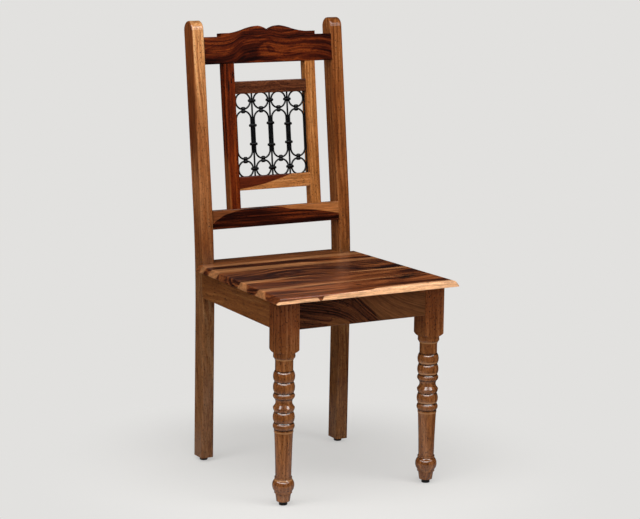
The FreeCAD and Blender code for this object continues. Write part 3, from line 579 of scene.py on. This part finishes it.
BOARDS = {
    "seat_board_1": seat_wood(
        1,
        pith=(-0.19, 0.075),
        **tints((58, 22, 8), (116, 56, 24), (164, 92, 46)),
        sap=(
            Band(((-225, -175), (-119, -164), (-55, -158), (40, -155), (125, -151), (225, -146)),
                FAR, tilt=-2.0),
            Band(((-225, -258), (-140, -256), (-127, -256), (-119, -264), (-111, -255), (-60, -251),
                 (0, -249), (25, -241), (90, -236), (185, -236), (225, -240)), NEAR, tilt=1.0,
                wobble=1.0, colour=linear(232, 176, 130)),
        ),
        knots=(Knot(141, -164, 31, 11, 28), Knot(5, -192, 9, 4), Knot(151, -235, 5, 3.5, 60)),
    ),
    "seat_board_2": seat_wood(
        2,
        pith=(-0.115, 0.073),
        bend=((-225, 10), (-100, 2), (0, -12), (80, -6), (225, 8)),
        sap=(Band(((-225, -88), (-119, -74), (-60, -64), (20, -57), (75, -67), (145, -72), (225, -76)),
                 FAR, tilt=-1.7),),
    ),
    "seat_board_3": seat_wood(
        3,
        pith=(-0.03, 0.06),
        dark=linear(32, 9, 7),
        middle=linear(74, 30, 14),
        bend=((-225, -20), (-120, 0), (-40, 18), (40, 8), (120, -14), (225, -4)),
    ),
    "seat_board_4": seat_wood(
        4,
        pith=(0.1, 0.07),
        sap=(Band(((-225, 89), (-55, 84), (25, 82), (62, 66), (125, 69), (225, 66)), NEAR),),
    ),
    "seat_board_5": seat_wood(
        5,
        pith=(0.16, 0.05),
        dark=linear(80, 42, 18),
        middle=linear(112, 62, 28),
        sap=(Band(((-225, 138), (-60, 136), (100, 140), (225, 138)), NEAR, soft=7.0),),
    ),
    "crest_rail": Wood(
        RAIL_GRAIN, BACK_ORIGIN, pith=(0.43, 0.03), **RED, seed=3.1,
        ring=3.6, wander=14.0, drift=9.0, streaks=0.6, coat=0.2, gloss=0.15,
        bend=((-175, 6), (-120, 0), (-60, 22), (-15, 26), (40, 20), (90, 24), (175, 0)),
    ),
    "lower_back_rail": Wood(
        RAIL_GRAIN, BACK_ORIGIN, pith=(0.02, 0.03), seed=7.7,
        **tints((20, 3, 1), (56, 15, 4), (116, 50, 16)),
        tones=((-165, (0.42, 0.34, 0.34)), (-30, (0.56, 0.48, 0.48)), (40, (1.0, 0.95, 0.9)),
               (165, PLAIN_TONE)),
        sap=(Band(((-165, 72), (-145, 90), (-118, 100), (-60, 108), (0, 107), (36, 100), (93, 94),
                  (165, 80)), FAR, wobble=1.0, colour=linear(168, 104, 56)),),
    ),
    "grille_bottom_rail": Wood(
        RAIL_GRAIN, BACK_ORIGIN, pith=(0.11, 0.05), seed=5.2, contrast=0.6,
        **tints((136, 78, 32), (182, 116, 62), (208, 148, 94)),
        sap=(Band(((-92, 152), (-60, 155), (-30, 160), (0, 167), (36, 177), (92, 196)), FAR,
                 wobble=1.0, colour=linear(88, 32, 11)),),
    ),
    "grille_top_rail": Wood(
        RAIL_GRAIN, BACK_ORIGIN, pith=(0.42, 0.06), seed=9.4, contrast=0.8,
        **tints((40, 16, 8), (78, 38, 19), (116, 66, 38)), ring=3.0, wander=20.0, drift=12.0,
    ),
    "back_stile_left": Wood(
        POST_GRAIN, BACK_ORIGIN, pith=(-0.06, 0.05), seed=2.3, contrast=0.8,
        **tints((42, 9, 1), (94, 31, 4), (140, 62, 16)),
        knots=(Knot(407, -94, 9, 2.5), Knot(380, -106, 13, 2.2, 4), Knot(392, -99, 6, 1.6)),
        sap=(Band(((100, -112), (180, -113), (240, -117), (300, -120), (440, -122)), NEAR,
                 colour=linear(122, 66, 28)),),
    ),
    "back_stile_right": Wood(POST_GRAIN, BACK_ORIGIN, pith=(0.16, 0.05), **GOLD, seed=4.8, contrast=0.8),
    "rear_leg_left": Wood(
        POST_GRAIN, BACK_ORIGIN, pith=(-0.21, 0.06), seed=6.1, contrast=0.8,
        **tints((150, 88, 44), (202, 140, 86), (230, 176, 122)),
        # Painted shade: the post's left face darker than its front, high up, laid on as a dark band
        sap=(Band(((-460, post_side - 20), (0, post_side - 12), (100, post_side - 4), (260, post_side + 1),
                  (540, post_side + 2)), NEAR, soft=2.0, colour=linear(118, 60, 24)),),
        # Painted shade: the leg darker below the seat, growing lighter up the post to its own colour near
        # the top
        tones=((-460, (0.34, 0.3, 0.28)), (-30, (0.34, 0.3, 0.28)), (40, (0.36, 0.25, 0.19)),
               (260, (0.58, 0.45, 0.37)), (420, PLAIN_TONE)),
    ),
    "rear_leg_right": Wood(
        POST_GRAIN, BACK_ORIGIN, pith=(0.12, 0.05), seed=8.9, contrast=0.8,
        **tints((92, 44, 14), (136, 76, 34), (166, 106, 58)),
        tones=((-460, (0.75, 0.9, 1.0)), (-30, (0.75, 0.9, 1.0)), (60, PLAIN_TONE)),
    ),
    "front_leg_left": Wood(
        LEG_GRAIN, pith=(-0.24, -0.26), **TURNED, seed=1.3,
        # Painted highlights: pale lines at these rim heights
        rim_highlights=(315.5, 159.3, 56.0),
        knots=(Knot(412, -159, 1.6, 1.6), Knot(398, -160, 1.4, 1.4)),
    ),
    "front_leg_right": Wood(
        LEG_GRAIN, pith=(0.13, -0.27), **TURNED, seed=2.9,
        # Painted highlights: pale lines at these rim heights
        rim_highlights=(315.5, 271.5, 247.5, 183.0, 159.3),
        knots=(Knot(420, 162, 2.2, 2.0), Knot(331, 149, 5, 4)),
    ),
    "front_apron": Wood(
        APRON_GRAIN, pith=(0.33, -0.26), seed=5.9, ring=6.0, drift=5.0, streaks=0.4,
        **tints((28, 10, 5), (60, 28, 14), (98, 56, 28)),
        bend=((-205, 0), (-100, -14), (-40, -34), (10, -72), (50, -104), (120, -140), (205, -160)),
        sap=(Band(((-205, 470), (-40, 446), (0, 426), (25, 402), (45, 378), (205, 340)), FAR, soft=6.0,
                 colour=linear(98, 59, 31)),
             Band(((-205, 300), (-95, 374), (-60, 394), (-38, 388), (-26, 374), (205, 300)), NEAR, soft=3.0,
                 colour=linear(92, 54, 26))),
    ),
    "rear_apron": Wood(APRON_GRAIN, pith=(0.34, 0.26), **DULL, seed=3.6),
    "side_apron_left": Wood(
        SIDE_GRAIN, pith=(0.33, -0.3), **TAN, seed=4.4, contrast=0.6,
        knots=(Knot(136, 391, 8, 2.5, depth=0.5), Knot(36, 399, 10, 2.5, depth=0.5),
               Knot(-56, 406, 7, 2, depth=0.5)),
    ),
    "side_apron_right": Wood(SIDE_GRAIN, pith=(0.34, 0.3), **TAN, seed=7.2, contrast=0.5),
}
CORNER_BLOCKS = [f"{end}_corner_block_{side}" for end in ("front", "rear") for side in ("left", "right")]
for order, block in enumerate(CORNER_BLOCKS):
    BOARDS[block] = Wood(SEAT_GRAIN, pith=(0.3, 0.3), **TAN, seed=11.0 + order)


def dress(node, material):
    """Give a node of the frame its finish."""
    mesh = NODES[node].data
    mesh.materials.clear()
    mesh.materials.append(material)


def dress_all():
    for name, look in BOARDS.items():
        dress(name, wood(f"wood_{name}", look))
    black = iron()
    plastic = grained("glide_plastic", GLIDE_PLASTIC)
    steel = grained("steel", STEEL)
    for name in NODES:
        if name.startswith("grille_") and not name.endswith("_rail"):
            dress(name, black)
        elif "_glide_" in name:
            dress(name, plastic)
        elif name in ("seat_screws", "tenon_nails"):
            dress(name, steel)


def camera():
    forward = Vector((
        math.sin(CAMERA_YAW) * math.cos(CAMERA_PITCH),
        math.cos(CAMERA_YAW) * math.cos(CAMERA_PITCH),
        -math.sin(CAMERA_PITCH),
    ))
    level_right = Vector((math.cos(CAMERA_YAW), -math.sin(CAMERA_YAW), 0.0))
    level_down = forward.cross(level_right)
    right = math.cos(CAMERA_ROLL) * level_right + math.sin(CAMERA_ROLL) * level_down
    down = math.cos(CAMERA_ROLL) * level_down - math.sin(CAMERA_ROLL) * level_right
    data = bpy.data.cameras.new("camera")
    data.lens = CAMERA_LENS
    data.sensor_width = CAMERA_SENSOR
    data.sensor_fit = "HORIZONTAL"
    data.clip_end = CAMERA_SIGHT
    item = bpy.data.objects.new("camera", data)
    turn = Matrix((right, -down, -forward)).transposed()
    item.matrix_world = Matrix.Translation(CAMERA_PLACE) @ turn.to_4x4()
    bpy.context.scene.collection.objects.link(item)
    bpy.context.scene.camera = item


# Near the origin the floor is partly lit, and between two radii it turns into plain backdrop
BACKGROUND = linear(226, 225, 223)
FLOOR_COLOUR = linear(232, 231, 228)
FLOOR_REACH = 12.0
FLOOR_FADE = (0.3, 0.66)
NEAR_PLAIN_SHARE = 0.55
NEAR_DIM_SHARE = 0.7
DIM_SURROUNDINGS = (0.008, 0.008, 0.008, 1.0)


def floor():
    """Pale floor that takes the chair's shadow and fades into the backdrop."""
    bpy.ops.mesh.primitive_plane_add(size=2 * FLOOR_REACH)
    plane = bpy.context.object
    plane.name = "floor"
    g = Graph(bpy.data.materials.new("floor"))
    distance = g.add("ShaderNodeVectorMath", {0: g.place()}, operation="LENGTH").outputs["Value"]
    path = g.add("ShaderNodeLightPath", {})
    lit = g.add("ShaderNodeBsdfDiffuse", {"Color": FLOOR_COLOUR}).outputs[0]
    plain = g.add("ShaderNodeEmission", {"Color": BACKGROUND}).outputs[0]
    dim = g.add("ShaderNodeEmission", {"Color": DIM_SURROUNDINGS}).outputs[0]
    plain_share = g.fade(distance, *FLOOR_FADE, NEAR_PLAIN_SHARE, 1.0)
    plain_share = g.times(plain_share, path.outputs["Is Camera Ray"])
    dim_share = g.fade(distance, *FLOOR_FADE, NEAR_DIM_SHARE, 1.0)
    dim_share = g.times(dim_share, path.outputs["Is Glossy Ray"])
    g.put(g.surface, g.layer(dim_share, g.layer(plain_share, lit, plain), dim))
    plane.data.materials.append(g.owner)


AMBIENT = (1.0, 1.0, 1.0, 1.0)
AMBIENT_FRONT_TO_REAR = (0.16, 0.46)


def backdrop():
    """World that is the plain backdrop to the eye, dim in gloss, and soft light otherwise."""
    world = bpy.data.worlds.new("backdrop")
    bpy.context.scene.world = world
    g = Graph(world, "ShaderNodeOutputWorld")
    direction = g.add("ShaderNodeTexCoord", {}).outputs["Generated"]
    rearward = g.add("ShaderNodeSeparateXYZ", {0: direction}).outputs["Y"]
    strength = g.spread(rearward, -1.0, 1.0, *AMBIENT_FRONT_TO_REAR)
    soft = g.add("ShaderNodeBackground", {"Color": AMBIENT, "Strength": strength}).outputs[0]
    dim = g.add("ShaderNodeBackground", {"Color": DIM_SURROUNDINGS}).outputs[0]
    plain = g.add("ShaderNodeBackground", {"Color": BACKGROUND}).outputs[0]
    path = g.add("ShaderNodeLightPath", {})
    in_gloss = g.layer(path.outputs["Is Glossy Ray"], soft, dim)
    g.put(g.surface, g.layer(path.outputs["Is Camera Ray"], in_gloss, plain))


def lamp(name, place, target, size, power):
    """Soft lamp with its long side level."""
    data = bpy.data.lights.new(name, "AREA")
    data.shape = "RECTANGLE"
    data.size, data.size_y = size
    data.energy = power
    item = bpy.data.objects.new(name, data)
    item.location = place
    away = (place - target).normalized()
    across = UP.cross(away).normalized()
    turn = Matrix((across, away.cross(across), away)).transposed()
    item.rotation_euler = turn.to_euler()
    bpy.context.scene.collection.objects.link(item)


OVERHEAD_PLACE = Vector((-0.3, -0.75, 2.1))
OVERHEAD_TARGET = Vector((-0.15, -0.45, 0.0))
OVERHEAD_SIZE = (3.4, 0.9)
OVERHEAD_POWER = 40.0

# Three lamps in front, each with its degrees to the right of the camera and its watts
FRONT_ARC_TARGET = Vector((0.0, 0.0, 0.4))
FRONT_ARC_RADIUS = 3.4
FRONT_ARC_RISE = math.radians(28.0)
FRONT_ARC_SIZE = (2.8, 0.55)
FRONT_ARC = {"left": (-52.0, 15.5), "middle": (0.0, 23.0), "right": (52.0, 10.0)}


def lamps():
    lamp("overhead_softbox", OVERHEAD_PLACE, OVERHEAD_TARGET, OVERHEAD_SIZE, OVERHEAD_POWER)
    for side, (degrees, power) in FRONT_ARC.items():
        turn = CAMERA_YAW - math.radians(degrees)
        level = Vector((-math.sin(turn), -math.cos(turn), 0.0))
        away = math.cos(FRONT_ARC_RISE) * level + math.sin(FRONT_ARC_RISE) * UP
        place = FRONT_ARC_TARGET + FRONT_ARC_RADIUS * away
        lamp(f"front_arc_{side}", place, FRONT_ARC_TARGET, FRONT_ARC_SIZE, power)


dress_all()
camera()
floor()
backdrop()
lamps()
bpy.context.scene.view_settings.view_transform = "Standard"
